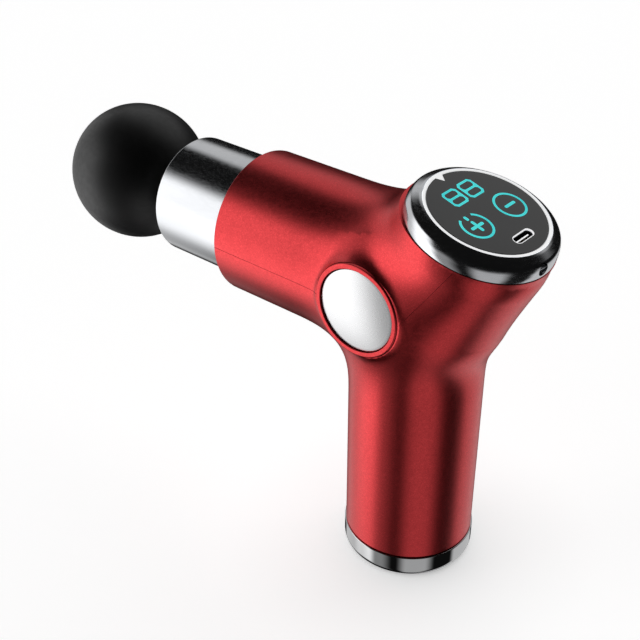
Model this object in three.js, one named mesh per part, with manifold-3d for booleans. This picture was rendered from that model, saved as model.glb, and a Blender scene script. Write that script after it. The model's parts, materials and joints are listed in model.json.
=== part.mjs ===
// Handheld massage gun with a ball head: Y-shaped red housing, polished nose sleeve,
// round control panel, motor and crank in the elbow, two cells in the handle.
// Millimetres, +Z up. Origin: centre of the base's underside. +X: towards the ball head.
import * as THREE from 'three';
import { mergeVertices } from 'three/addons/utils/BufferGeometryUtils.js';
import Module from 'manifold-3d';

const wasm = await Module();
wasm.setup();

// ---------------------------------------------------------------- driving dimensions
const HANDLE_R = 21;
const BARREL_R = 23.6;
const AXIS_Z = 98.6; // height of the barrel, piston and motor axes
const BARREL_FRONT_X = 62.8;
const WALL = 2;
const GAP = 0.25; // between neighbouring fixed parts

const BASE_R = 21.4;
const BASE_H = 8.4;

const PANEL_TILT = 17.6 * Math.PI / 180; // the panel leans back towards the user
const PANEL_X = -20.3;
const PANEL_Z = 129.1;
const GLASS_R = 17.45;
const LIGHT_RING_R = 18.4;
const BEZEL_R = 22.3;
const BEZEL_H = 6.2;

const NECK_TOP_R = 23.1;
const NECK_LOW_R = 21.3;
const NECK_LOW_X = -7.5;
const NECK_LOW_Z = 98.5;
const NECK_BLEND = 12; // how far apart two forms may be and still melt together
const NECK_ROLL_IN = 0.75; // the neck draws in to meet the bezel
const ELBOW_BLEND = 19; // under and over the barrel
const STRAIGHT_TOP_Z = 69; // the handle is a plain tube below this
const STRAIGHT_REAR_X = 32; // the barrel is a plain tube ahead of this

const MOTOR_X = 5.2; // the motor's axis runs along Y through the two side caps
const CAP_R = 12.75;
const CAP_Y = 24.6;
const COLLAR_R = 14.5;
const COLLAR_BORE_R = 13.05;
const COLLAR_Y = 24.9;
const BOSS_SLOPE = 0.3; // the boss widens with the depth below its rim
const BOSS_FLARE = 0.04; // and with the depth's square
const BOSS_DEPTH = 8.5;
const BOSS_BLEND = 3;

const SLEEVE_R = 19.8;
const SLEEVE_BORE_R = 18.8;
const SLEEVE_FRONT_X = 93.4;

const CRANK_R = 3; // 6 mm stroke
const ROD_LENGTH = 30;
const PISTON_R = 11;
const PISTON_FRONT_X = 92.5;
const STEM_R = 7.3;
const BALL_R = 23.6;
const BALL_X = 123;
const BALL_WALL = 3.2;

const CELL_R = 9.2;
const CELL_LENGTH = 65;
const CELL_Z = 11.05;

// ---------------------------------------------------------------- materials
const finish = (color, roughness, metalness) => ({ color, roughness, metalness });
const RED = finish(0xb3232a, 0.32, 0.75);
const CHROME = finish(0xd9dadc, 0.08, 1);
const PEARL = finish(0xd4d5d6, 0.35, 0.3);
const BLACK_RUBBER = finish(0x161617, 0.75, 0);
const BLACK_PLASTIC = finish(0x1d1e20, 0.5, 0);
const NATURAL_PLASTIC = finish(0xd8d4c6, 0.5, 0);
const SMOKED_GLASS = finish(0x2c2e31, 0.12, 0);
const WHITE_PLASTIC = finish(0xe9eaea, 0.4, 0);
const CYAN = finish(0x46e1d7, 0.4, 0);
const BOARD_GREEN = finish(0x1f5b37, 0.55, 0.1);
const STEEL = finish(0x8f9296, 0.3, 1);
const BRASS = finish(0xb08d47, 0.35, 1);
const ALUMINIUM = finish(0xb9bcc0, 0.35, 1);
const CELL_BLUE = finish(0x2f6f9f, 0.45, 0.2);
const WIRE_RED = finish(0x9c1f1f, 0.6, 0);
const WIRE_BLACK = finish(0x151515, 0.6, 0);

const part = new THREE.Group();
part.name = 'massage_gun';

const addPart = (name, geometry, look) => {
  const material = new THREE.MeshStandardMaterial(look);
  const mesh = new THREE.Mesh(geometry, material);
  mesh.name = name;
  part.add(mesh);
  return mesh;
};

// ---------------------------------------------------------------- solids and booleans
const signedVolume = (positions, index) => {
  const a = new THREE.Vector3();
  const b = new THREE.Vector3();
  const c = new THREE.Vector3();
  let volume = 0;
  for (let i = 0; i < index.length; i += 3) {
    a.fromArray(positions, index[i] * 3);
    b.fromArray(positions, index[i + 1] * 3);
    c.fromArray(positions, index[i + 2] * 3);
    volume += a.dot(b.cross(c));
  }
  return volume / 6;
};

// Welds a geometry by position, drops collapsed triangles and turns its faces outward.
const solid = (geometry) => {
  const bare = new THREE.BufferGeometry();
  bare.setAttribute('position', geometry.getAttribute('position').clone());
  if (geometry.index) {
    bare.setIndex(geometry.index.clone());
  }
  const welded = mergeVertices(bare, 1e-4);
  const positions = welded.getAttribute('position').array;
  const source = welded.index.array;
  const index = [];
  for (let i = 0; i < source.length; i += 3) {
    const [a, b, c] = [source[i], source[i + 1], source[i + 2]];
    if (a !== b && b !== c && a !== c) {
      index.push(a, b, c);
    }
  }
  if (signedVolume(positions, index) < 0) {
    for (let i = 0; i < index.length; i += 3) {
      [index[i + 1], index[i + 2]] = [index[i + 2], index[i + 1]];
    }
  }
  const mesh = new wasm.Mesh({
    numProp: 3,
    vertProperties: new Float32Array(positions),
    triVerts: new Uint32Array(index),
  });
  return new wasm.Manifold(mesh);
};

const geometryOf = (manifold) => {
  const mesh = manifold.getMesh();
  const geometry = new THREE.BufferGeometry();
  geometry.setAttribute('position', new THREE.Float32BufferAttribute(mesh.vertProperties, 3));
  geometry.setIndex(Array.from(mesh.triVerts));
  const flat = geometry.toNonIndexed();
  flat.computeVertexNormals();
  return flat;
};

const minus = (base, ...tools) => tools.reduce((left, tool) => left.subtract(tool), base);
const plus = (base, ...more) => more.reduce((left, other) => left.add(other), base);

// ---------------------------------------------------------------- placing helpers
const ALONG_X = 'x';
const ALONG_Y = 'y';
const ALONG_Z = 'z';

const turnTo = (geometry, axis) => {
  if (axis === ALONG_X) {
    return geometry.rotateZ(-Math.PI / 2);
  }
  if (axis === ALONG_Z) {
    return geometry.rotateX(Math.PI / 2);
  }
  return geometry;
};

// A body of revolution: profile is a closed loop of [radius, distance along the axis].
const turned = (profile, axis, segments, centre = [0, 0, 0]) => {
  const points = profile.map(([r, d]) => new THREE.Vector2(r, d));
  points.push(points[0].clone());
  const geometry = turnTo(new THREE.LatheGeometry(points, segments), axis);
  return solid(geometry.translate(...centre));
};

const rod = (radius, from, to, axis, segments, centre = [0, 0, 0]) =>
  turned([[0, from], [radius, from], [radius, to], [0, to]], axis, segments, centre);

const ring = (inner, outer, from, to, axis, segments, centre = [0, 0, 0]) =>
  turned([[inner, from], [outer, from], [outer, to], [inner, to]], axis, segments, centre);

const block = (low, high) => {
  const size = high.map((value, i) => value - low[i]);
  const middle = high.map((value, i) => (value + low[i]) / 2);
  return solid(new THREE.BoxGeometry(...size).translate(...middle));
};

// A flat outline in XY extruded from z = from to z = to.
const prism = (outline, from, to) => {
  const shape = new THREE.Shape(outline.map(([x, y]) => new THREE.Vector2(x, y)));
  const geometry = new THREE.ExtrudeGeometry(shape, { depth: to - from, bevelEnabled: false });
  return solid(geometry.translate(0, 0, from));
};

// An outline in XZ extruded along Y.
const sidePrism = (outline, fromY, toY) => {
  const shape = new THREE.Shape(outline.map(([x, z]) => new THREE.Vector2(x, z)));
  const geometry = new THREE.ExtrudeGeometry(shape, { depth: toY - fromY, bevelEnabled: false });
  return solid(geometry.rotateX(Math.PI / 2).translate(0, toY, 0));
};

const stadium = (length, width, steps) => {
  const r = width / 2;
  const straight = length / 2 - r;
  const outline = [];
  for (let i = 0; i <= steps; i += 1) {
    const a = -Math.PI / 2 + Math.PI * i / steps;
    outline.push([straight + r * Math.cos(a), r * Math.sin(a)]);
  }
  for (let i = 0; i <= steps; i += 1) {
    const a = Math.PI / 2 + Math.PI * i / steps;
    outline.push([-straight + r * Math.cos(a), r * Math.sin(a)]);
  }
  return outline;
};

const lead = (points, radius, pieces) => {
  const path = new THREE.CatmullRomCurve3(points.map((p) => new THREE.Vector3(...p)));
  const shape = new THREE.Shape();
  const sides = 6;
  for (let i = 0; i < sides; i += 1) {
    const a = 2 * Math.PI * i / sides;
    const [x, y] = [radius * Math.cos(a), radius * Math.sin(a)];
    if (i === 0) {
      shape.moveTo(x, y);
    } else {
      shape.lineTo(x, y);
    }
  }
  return solid(new THREE.ExtrudeGeometry(shape, { steps: pieces, extrudePath: path }));
};

// The panel frame: u points forward and up the slope, v is +Y, w is out of the glass.
const PANEL_FRAME = new THREE.Matrix4().makeBasis(
  new THREE.Vector3(Math.cos(PANEL_TILT), 0, Math.sin(PANEL_TILT)),
  new THREE.Vector3(0, 1, 0),
  new THREE.Vector3(-Math.sin(PANEL_TILT), 0, Math.cos(PANEL_TILT)),
).setPosition(PANEL_X, 0, PANEL_Z);

const onPanel = (manifold) => solid(geometryOf(manifold).applyMatrix4(PANEL_FRAME));

// ---------------------------------------------------------------- housing form
// Signed distances, melted together where two forms come within reach of each other.
const smoothUnion = (a, b, reach) =>
  Math.min(a, b) - Math.max(1 - Math.abs(a - b) / reach, 0) ** 3 * reach / 6;

const panelDepth = (x, z) =>
  (x - PANEL_X) * -Math.sin(PANEL_TILT) + (z - PANEL_Z) * Math.cos(PANEL_TILT);

const NECK_TOP = [
  PANEL_X + BEZEL_H * Math.sin(PANEL_TILT),
  PANEL_Z - BEZEL_H * Math.cos(PANEL_TILT),
];
const NECK_RUN = [NECK_LOW_X - NECK_TOP[0], NECK_LOW_Z - NECK_TOP[1]];
const NECK_LENGTH = Math.hypot(...NECK_RUN);
const NECK_AHEAD = 20; // the neck's cone runs on past the panel and is cut there

const neckDistance = (x, y, z) => {
  const [ux, uz] = [NECK_RUN[0] / NECK_LENGTH, NECK_RUN[1] / NECK_LENGTH];
  const along = (x - NECK_TOP[0]) * ux + (z - NECK_TOP[1]) * uz;
  const s = Math.min(Math.max(along, -NECK_AHEAD), NECK_LENGTH);
  const t = Math.min(Math.max(s / NECK_LENGTH, 0), 1);
  const rollIn = NECK_ROLL_IN * Math.min(Math.max(1 - along / 6, 0), 1) ** 2;
  const radius = NECK_TOP_R + (NECK_LOW_R - NECK_TOP_R) * t - rollIn;
  return Math.hypot(x - NECK_TOP[0] - s * ux, y, z - NECK_TOP[1] - s * uz) - radius;
};

const housingDistance = (x, y, z) => {
  const handle = Math.hypot(Math.hypot(x, y), Math.max(z - AXIS_Z, 0)) - HANDLE_R;
  const barrel = Math.hypot(Math.hypot(y, z - AXIS_Z), Math.min(x - MOTOR_X, 0)) - BARREL_R;
  const depth = COLLAR_Y - Math.abs(y);
  const drop = Math.min(Math.max(depth, 0), BOSS_DEPTH);
  const flare = COLLAR_R + 0.2 + BOSS_SLOPE * drop + BOSS_FLARE * drop ** 2;
  const fromMotor = Math.hypot(x - MOTOR_X, z - AXIS_Z);
  const boss = Math.max((fromMotor - flare) / Math.hypot(1, BOSS_SLOPE), 0.4 - depth);
  const trunk = smoothUnion(handle, neckDistance(x, y, z), NECK_BLEND);
  const elbow = smoothUnion(trunk, barrel, ELBOW_BLEND);
  const body = smoothUnion(elbow, boss, BOSS_BLEND);
  return Math.max(body, x - STRAIGHT_REAR_X - 7, STRAIGHT_TOP_Z - 7 - z, panelDepth(x, z) - 8);
};

// Meshes the zero surface of a distance function with one vertex per crossed cell.
const surfaceOf = (distance, low, high, cell) => {
  const count = high.map((value, i) => Math.ceil((value - low[i]) / cell));
  const [nx, ny] = [count[0] + 1, count[1] + 1];
  const point = (i, j, k) => [low[0] + i * cell, low[1] + j * cell, low[2] + k * cell];
  const values = new Float64Array(nx * ny * (count[2] + 1));
  const slot = (i, j, k) => (k * ny + j) * nx + i;
  for (let k = 0; k <= count[2]; k += 1) {
    for (let j = 0; j <= count[1]; j += 1) {
      for (let i = 0; i <= count[0]; i += 1) {
        values[slot(i, j, k)] = distance(...point(i, j, k));
      }
    }
  }
  const settle = (p) => {
    const step = 0.05;
    for (let pass = 0; pass < 6; pass += 1) {
      const d = distance(...p);
      const slope = [0, 1, 2].map((axis) => {
        const ahead = [...p];
        const behind = [...p];
        ahead[axis] += step;
        behind[axis] -= step;
        return (distance(...ahead) - distance(...behind)) / (2 * step);
      });
      const size = Math.max(Math.hypot(...slope), 0.3);
      for (let axis = 0; axis < 3; axis += 1) {
        p[axis] -= 0.8 * d * slope[axis] / (size * size);
      }
    }
    return p;
  };
  const vertices = [];
  const vertexOf = new Map();
  const corners = [0, 1, 2, 3, 4, 5, 6, 7].map((n) => [n & 1, (n >> 1) & 1, (n >> 2) & 1]);
  for (let k = 0; k < count[2]; k += 1) {
    for (let j = 0; j < count[1]; j += 1) {
      for (let i = 0; i < count[0]; i += 1) {
        const sum = [0, 0, 0];
        let crossings = 0;
        for (let a = 0; a < 8; a += 1) {
          for (let axis = 0; axis < 3; axis += 1) {
            if (corners[a][axis] === 1) {
              continue;
            }
            const b = a + (1 << axis);
            const from = point(i + corners[a][0], j + corners[a][1], k + corners[a][2]);
            const va = values[slot(i + corners[a][0], j + corners[a][1], k + corners[a][2])];
            const vb = values[slot(i + corners[b][0], j + corners[b][1], k + corners[b][2])];
            if ((va < 0) !== (vb < 0)) {
              from[axis] += cell * va / (va - vb);
              from.forEach((value, n) => {
                sum[n] += value;
              });
              crossings += 1;
            }
          }
        }
        if (crossings > 0) {
          vertexOf.set(slot(i, j, k), vertices.length);
          vertices.push(settle(sum.map((value) => value / crossings)));
        }
      }
    }
  }
  const triangles = [];
  const apart = (a, b) => Math.hypot(...vertices[a].map((value, n) => value - vertices[b][n]));
  for (let k = 1; k < count[2]; k += 1) {
    for (let j = 1; j < count[1]; j += 1) {
      for (let i = 1; i < count[0]; i += 1) {
        for (let axis = 0; axis < 3; axis += 1) {
          const end = [i, j, k];
          end[axis] += 1;
          const inside = values[slot(i, j, k)] < 0;
          if (inside === (values[slot(...end)] < 0)) {
            continue;
          }
          const side = (axis + 1) % 3;
          const up = (axis + 2) % 3;
          const around = [[0, 0], [1, 0], [1, 1], [0, 1]].map(([s, u]) => {
            const at = [i, j, k];
            at[side] -= s;
            at[up] -= u;
            return vertexOf.get(slot(...at));
          });
          if (!inside) {
            around.reverse();
          }
          const [a, b, c, d] = around;
          if (apart(a, c) < apart(b, d)) {
            triangles.push(a, b, c, a, c, d);
          } else {
            triangles.push(a, b, d, b, c, d);
          }
        }
      }
    }
  }
  const geometry = new THREE.BufferGeometry();
  geometry.setAttribute('position', new THREE.Float32BufferAttribute(vertices.flat(), 3));
  geometry.setIndex(triangles);
  return solid(geometry);
};

// ---------------------------------------------------------------- housing shells
const FIELD_LOW = [-66, -38, 46];
const FIELD_HIGH = [54, 38, 160];
const ELBOW = block([-60, -40, STRAIGHT_TOP_Z], [STRAIGHT_REAR_X, 40, 150]);

// The housing's form drawn in by a wall thickness: two plain tubes and the elbow.
const housingForm = (inset, cell, baseZ, frontX) => plus(
  surfaceOf((x, y, z) => housingDistance(x, y, z) + inset, FIELD_LOW, FIELD_HIGH, cell)
    .intersect(ELBOW),
  rod(HANDLE_R - inset, baseZ, STRAIGHT_TOP_Z, ALONG_Z, 36),
  rod(BARREL_R - inset, STRAIGHT_REAR_X, frontX, ALONG_X, 36, [0, 0, AXIS_Z]),
);

const shell = minus(
  housingForm(0, 5.6, BASE_H + GAP, BARREL_FRONT_X),
  housingForm(WALL, 7, 0, BARREL_FRONT_X - 2.4),
  onPanel(block([-60, -40, -BEZEL_H - GAP], [60, 40, 40])),
  onPanel(rod(18.9, -11, 0, ALONG_Z, 32)),
  rod(SLEEVE_R + GAP, 50, 80, ALONG_X, 36, [0, 0, AXIS_Z]),
  rod(COLLAR_R + GAP, -30, 30, ALONG_Y, 32, [MOTOR_X, 0, AXIS_Z]),
);

// The two shells meet on a line along the barrel's side, then up the neck to the bezel.
const partingPrism = (lift) => sidePrism([
  [90, AXIS_Z + lift],
  [90, 160],
  [-40, 160],
  [-40, 143 + lift],
  [-9, AXIS_Z + lift],
], -40, 40);

addPart('grip_shell', geometryOf(shell.subtract(partingPrism(-GAP / 2))), RED);
addPart('top_shell', geometryOf(shell.intersect(partingPrism(GAP / 2))), RED);

// ---------------------------------------------------------------- base
const baseProfile = [
  [0, 1.3],
  [15.3, 1.3],
  [15.3, 0],
  [19.7, 0],
  [20.6, 0.45],
  [21.15, 1.2],
  [BASE_R, 2.3],
  [BASE_R, BASE_H],
  [HANDLE_R - WALL - GAP, BASE_H],
  [HANDLE_R - WALL - GAP, 10.5],
  [17.2, 10.5],
  [17.2, 6.4],
  [0, 6.4],
];
const BASE_SCREW_R = 11.5;
const aroundZ = (radius, count, turn = 0) => Array.from({ length: count }, (_, n) => {
  const a = turn + 2 * Math.PI * n / count;
  return [radius * Math.cos(a), radius * Math.sin(a)];
});
const baseScrewSpots = aroundZ(BASE_SCREW_R, 2, Math.PI / 2);

const baseCap = baseScrewSpots.reduce(
  (cup, [x, y]) => minus(
    cup,
    rod(2.1, 0, 2.9, ALONG_Z, 10, [x, y, 0]),
    rod(1.25, 2, 8, ALONG_Z, 10, [x, y, 0]),
  ),
  turned(baseProfile, ALONG_Z, 32),
);
addPart('base_cap', geometryOf(baseCap), CHROME);
addPart('base_pad', geometryOf(turned([
  [0, 0],
  [14.7, 0],
  [15, 0.3],
  [15, 1.15],
  [0, 1.15],
], ALONG_Z, 28)), BLACK_RUBBER);

baseScrewSpots.forEach(([x, y], n) => {
  const screw = turned([
    [0, 1.45],
    [1.8, 1.45],
    [1.8, 2.75],
    [1, 2.75],
    [1, 10.2],
    [0, 10.2],
  ], ALONG_Z, 10, [x, y, 0]);
  addPart(`base_screw_${n + 1}`, geometryOf(screw), STEEL);
});

// ---------------------------------------------------------------- cells and main board
const cradleLow = baseScrewSpots.reduce(
  (cradle, [x, y]) => cradle
    .add(rod(2.8, 6.6, 8.6, ALONG_Z, 10, [x, y, 0]))
    .subtract(rod(1.2, 6, 11, ALONG_Z, 10, [x, y, 0])),
  rod(16.9, 8.5, 10.5, ALONG_Z, 28),
);
addPart('cell_cradle_low', geometryOf(cradleLow), BLACK_PLASTIC);

const CELL_X = CELL_R + 0.12;
const CELL_TOP = CELL_Z + CELL_LENGTH;
[-CELL_X, CELL_X].forEach((x, n) => {
  const cell = turned([
    [0, CELL_Z],
    [CELL_R - 0.4, CELL_Z],
    [CELL_R, CELL_Z + 0.4],
    [CELL_R, CELL_TOP - 1.2],
    [CELL_R - 0.5, CELL_TOP - 0.8],
    [3.2, CELL_TOP - 0.8],
    [3.2, CELL_TOP],
    [0, CELL_TOP],
  ], ALONG_Z, 16, [x, 0, 0]);
  addPart(`battery_cell_${n + 1}`, geometryOf(cell), CELL_BLUE);
  const strip = block([x - 4, -3, CELL_TOP + 0.1], [x + 4, 3, CELL_TOP + 0.35]);
  addPart(`tab_strip_top_${n + 1}`, geometryOf(strip), STEEL);
});
addPart('tab_strip_low', geometryOf(block([-14, -3, 10.65], [14, 3, 10.9])), STEEL);

const cradleHigh = minus(
  rod(18.2, CELL_TOP + 0.6, CELL_TOP + 2.6, ALONG_Z, 28),
  block([-12, 9.4, 60], [12, 24, 90]),
  rod(2.2, 60, 90, ALONG_Z, 10, [-12.5, -6, 0]),
);
addPart('cell_cradle_high', geometryOf(cradleHigh), BLACK_PLASTIC);

const BOARD_Y = 10.4;
addPart('main_board', geometryOf(
  block([-10.5, BOARD_Y, 20], [10.5, BOARD_Y + 1.2, 79]),
), BOARD_GREEN);
addPart('main_board_inductor', geometryOf(
  block([-4, BOARD_Y + 1.35, 30], [4, BOARD_Y + 4.6, 38]),
), BLACK_PLASTIC);
addPart('main_board_connector', geometryOf(minus(
  block([-5, BOARD_Y + 1.35, 62], [5, BOARD_Y + 5, 68]),
  block([-4, BOARD_Y + 2.3, 64], [4, BOARD_Y + 4.2, 69]),
)), WHITE_PLASTIC);

// ---------------------------------------------------------------- motor, along Y
const MOTOR = [MOTOR_X, 0, AXIS_Z];
const motorCan = turned([
  [2.8, -17.2],
  [13.5, -17.2],
  [14.3, -16.4],
  [14.3, -7.6],
  [13.3, -6.6],
  [6.3, -6.6],
  [6.3, -9.1],
  [2.8, -9.1],
], ALONG_Y, 24, MOTOR);
const MOTOR_SCREW_R = 8;
const motorScrewSpots = aroundZ(MOTOR_SCREW_R, 3, Math.PI / 2);
const drilledCan = motorScrewSpots.reduce(
  (can, [x, z]) => can.subtract(rod(1.05, -18, -13.5, ALONG_Y, 12, [MOTOR_X + x, 0, AXIS_Z + z])),
  motorCan,
);
addPart('motor_can', geometryOf(drilledCan), STEEL);
addPart('motor_bearing', geometryOf(ring(2.65, 6, -9, -6.9, ALONG_Y, 16, MOTOR)), STEEL);

const bracket = motorScrewSpots.reduce(
  (plate, [x, z]) => plate.subtract(rod(1.2, -20, -16, ALONG_Y, 12, [MOTOR_X + x, 0, AXIS_Z + z])),
  ring(3.4, 14.3, -19.2, -17.5, ALONG_Y, 24, MOTOR),
);
addPart('motor_bracket', geometryOf(bracket), ALUMINIUM);

motorScrewSpots.forEach(([x, z], n) => {
  const screw = turned([
    [0, -20.6],
    [1.6, -20.6],
    [1.6, -19.35],
    [0.85, -19.35],
    [0.85, -13.8],
    [0, -13.8],
  ], ALONG_Y, 8, [MOTOR_X + x, 0, AXIS_Z + z]);
  addPart(`motor_screw_${n + 1}`, geometryOf(screw), STEEL);
});

// ---------------------------------------------------------------- side collars and caps
// Profiles for the +Y side; side = -1 mirrors them.
[['left', 1], ['right', -1]].forEach(([name, side]) => {
  const mirrored = (profile) => profile.map(([r, d]) => [r, d * side]);
  const collar = turned(mirrored([
    [COLLAR_BORE_R, 21.4],
    [COLLAR_BORE_R, COLLAR_Y - 0.35],
    [COLLAR_BORE_R + 0.35, COLLAR_Y],
    [COLLAR_R - 0.5, COLLAR_Y],
    [COLLAR_R, COLLAR_Y - 0.6],
    [COLLAR_R, 19.5],
    [10.2, 19.5],
    [10.2, 21.4],
  ]), ALONG_Y, 32, MOTOR);
  addPart(`side_collar_${name}`, geometryOf(collar), RED);
  const cap = turned(mirrored([
    [0, CAP_Y + 0.7],
    [7, CAP_Y + 0.35],
    [CAP_R - 0.6, CAP_Y - 0.35],
    [CAP_R, CAP_Y - 0.8],
    [CAP_R, 21.7],
    [11.5, 21.7],
    [11.5, 23],
    [0, 23],
  ]), ALONG_Y, 32, MOTOR);
  addPart(`side_cap_${name}`, geometryOf(cap), PEARL);
});

addPart('driver_board', geometryOf(rod(13.9, 17.5, 19.1, ALONG_Y, 24, MOTOR)), BOARD_GREEN);

// ---------------------------------------------------------------- crank and rod
const CRANK_PIN_X = MOTOR_X - CRANK_R;
const WRIST_X = CRANK_PIN_X + ROD_LENGTH;
addPart('motor_shaft', geometryOf(rod(2.5, -19, -6.3, ALONG_Y, 16, MOTOR)), STEEL);

const wheel = plus(
  rod(10.5, -6, -3.6, ALONG_Y, 24, MOTOR),
  rod(2, -4, 3.9, ALONG_Y, 24, [CRANK_PIN_X, 0, AXIS_Z]),
);
addPart('eccentric_wheel', geometryOf(wheel), STEEL);

const weight = ring(10.75, 14, -6, -3.4, ALONG_Y, 28, MOTOR)
  .intersect(block([MOTOR_X + 2, -10, AXIS_Z - 20], [MOTOR_X + 20, 0, AXIS_Z + 20]));
addPart('counterweight', geometryOf(weight), BRASS);
addPart('pin_clip', geometryOf(ring(2.1, 3.4, 3, 3.6, ALONG_Y, 16, [CRANK_PIN_X, 0, AXIS_Z])), STEEL);

const bigEnd = rod(6, -2.6, 2.6, ALONG_Y, 24, [CRANK_PIN_X, 0, AXIS_Z]);
const shank = block([CRANK_PIN_X + 2, -2.6, AXIS_Z - 3], [WRIST_X - 3, 2.6, AXIS_Z + 3]);
// The far eye is a tall slot, so that it stays clear of the wrist pin as the rod rises.
const eyeSlot = (halfWidth, low, high) => {
  const outline = [];
  for (let i = 0; i <= 8; i += 1) {
    const a = Math.PI * i / 8;
    outline.push([WRIST_X + halfWidth * Math.cos(a), AXIS_Z + high + halfWidth * Math.sin(a)]);
  }
  for (let i = 0; i <= 8; i += 1) {
    const a = Math.PI + Math.PI * i / 8;
    outline.push([WRIST_X + halfWidth * Math.cos(a), AXIS_Z - low + halfWidth * Math.sin(a)]);
  }
  return outline;
};
const connectingRod = minus(
  plus(bigEnd, shank, sidePrism(eyeSlot(4.5, 3, 0), -2.6, 2.6)),
  sidePrism(eyeSlot(2.9, 3, 0), -5, 5),
  rod(4.2, -5, 5, ALONG_Y, 24, [CRANK_PIN_X, 0, AXIS_Z]),
);
addPart('connecting_rod', geometryOf(connectingRod), ALUMINIUM);
addPart('rod_bearing', geometryOf(
  ring(2.1, 4, -2.5, 2.5, ALONG_Y, 24, [CRANK_PIN_X, 0, AXIS_Z]),
), STEEL);

// ---------------------------------------------------------------- piston and its guide
const NOSE = [0, 0, AXIS_Z];
const piston = turned([
  [9, 24],
  [10.6, 24],
  [PISTON_R, 24.4],
  [PISTON_R, PISTON_FRONT_X - 0.6],
  [PISTON_R - 0.6, PISTON_FRONT_X],
  [STEM_R + 0.3, PISTON_FRONT_X],
  [STEM_R + 0.3, 70.5],
  [0, 70.5],
  [0, 69],
  [9, 69],
], ALONG_X, 24, NOSE).subtract(rod(2, -14, 14, ALONG_Y, 10, [WRIST_X, 0, AXIS_Z]));
addPart('piston', geometryOf(piston), NATURAL_PLASTIC);
addPart('wrist_pin', geometryOf(rod(1.9, -10.6, 10.6, ALONG_Y, 10, [WRIST_X, 0, AXIS_Z])), STEEL);

addPart('guide_tube', geometryOf(
  ring(PISTON_R + 0.1, 12.6, 46, 88.6, ALONG_X, 24, NOSE),
), NATURAL_PLASTIC);
[['rear', 57, 59.5], ['front', 83.5, 86]].forEach(([name, from, to]) => {
  const collar = ring(13, 18.5, from, to, ALONG_X, 20, NOSE);
  addPart(`guide_ring_${name}`, geometryOf(collar), BLACK_PLASTIC);
});

addPart('nose_sleeve', geometryOf(turned([
  [SLEEVE_BORE_R, 54],
  [20.8, 54],
  [20.8, 56],
  [SLEEVE_R, 56],
  [SLEEVE_R, SLEEVE_FRONT_X - 1.2],
  [SLEEVE_R - 0.35, SLEEVE_FRONT_X - 0.35],
  [SLEEVE_R - 0.8, SLEEVE_FRONT_X],
  [SLEEVE_BORE_R, SLEEVE_FRONT_X],
], ALONG_X, 36, NOSE)), CHROME);
addPart('nose_plate', geometryOf(ring(13.4, 18.5, 89, 91.4, ALONG_X, 24, NOSE)), BLACK_PLASTIC);
addPart('dust_seal', geometryOf(ring(11.15, 13, 89.2, 91, ALONG_X, 24, NOSE)), BLACK_RUBBER);

// ---------------------------------------------------------------- ball head
const arc = (radius, centre, from, to, steps) => Array.from({ length: steps + 1 }, (_, n) => {
  const a = from + (to - from) * n / steps;
  return [radius * Math.sin(a), centre - radius * Math.cos(a)];
});
const holeAngle = (radius) => Math.asin((STEM_R + 0.3) / radius);
const ballProfile = [
  ...arc(BALL_R, BALL_X, holeAngle(BALL_R), Math.PI, 12),
  ...arc(BALL_R - BALL_WALL, BALL_X, Math.PI, holeAngle(BALL_R - BALL_WALL), 5),
];
addPart('ball_head', geometryOf(turned(ballProfile, ALONG_X, 26, NOSE)), BLACK_RUBBER);
addPart('head_stem', geometryOf(turned([
  [0, 72],
  [6.6, 72],
  [STEM_R, 72.8],
  [STEM_R, 79],
  [6.4, 79],
  [6.4, 80.8],
  [STEM_R, 80.8],
  [STEM_R, 118],
  [5.6, 118],
  [5.6, 88],
  [0, 88],
], ALONG_X, 16, NOSE)), BLACK_PLASTIC);

const ORING = new THREE.TorusGeometry(6.95, 0.5, 6, 16).rotateY(Math.PI / 2);
addPart('stem_o_ring', geometryOf(solid(ORING.translate(79.9, 0, AXIS_Z))), BLACK_RUBBER);
addPart('head_core', geometryOf(turned([
  [7.5, 108],
  [9.2, 108],
  [9.2, 112],
  [13.8, 112],
  [13.8, 114],
  [9.2, 114],
  [9.2, 120.5],
  [0, 120.5],
  [0, 118.3],
  [7.5, 118.3],
], ALONG_X, 16, NOSE)), BLACK_PLASTIC);

// ---------------------------------------------------------------- control panel
const PORT_U = -12.1;
const port = (length, width, from, to) => {
  const outline = stadium(length, width, 4).map(([a, b]) => [PORT_U + b, a]);
  return prism(outline, from, to);
};
const marker = (grow, from, to) => prism([
  [15.2 - grow * 1.4, 0],
  [18 + grow, -2 - grow],
  [18 + grow, 2 + grow],
], from, to);

const bezelTurned = turned([
  [LIGHT_RING_R + 0.2, 0],
  [20.9, -0.95],
  [21.9, -2.7],
  [BEZEL_R, -5],
  [BEZEL_R, -BEZEL_H],
  [18.5, -BEZEL_H],
  [18.5, -9.5],
  [17.5, -9.5],
  [17.5, -3.3],
  [15.7, -3.3],
  [15.7, -2.1],
  [LIGHT_RING_R + 0.2, -2.1],
], ALONG_Z, 32);
const EYE_W = -3.6; // the lanyard eye is in the bezel's rear, a little to the left
const EYE_TURN = -6 * Math.PI / 180;
const PIN_U = -21.2;
const turnedToEye = (manifold) => solid(geometryOf(manifold).rotateZ(EYE_TURN));
const bezel = minus(
  bezelTurned,
  turnedToEye(rod(1.85, -24, -20, ALONG_X, 16, [0, 0, EYE_W])),
  turnedToEye(rod(0.65, -3.4, 3.4, ALONG_Y, 12, [PIN_U, 0, EYE_W])),
);
addPart('panel_bezel', geometryOf(onPanel(bezel)), CHROME);
const lanyardPin = turnedToEye(rod(0.5, -3.2, 3.2, ALONG_Y, 12, [PIN_U, 0, EYE_W]));
addPart('lanyard_pin', geometryOf(onPanel(lanyardPin)), STEEL);

const lightRing = plus(ring(GLASS_R + 0.2, LIGHT_RING_R, -1.9, 0, ALONG_Z, 36), marker(0, -1, 0));
addPart('panel_light_ring', geometryOf(onPanel(lightRing)), WHITE_PLASTIC);

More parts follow.
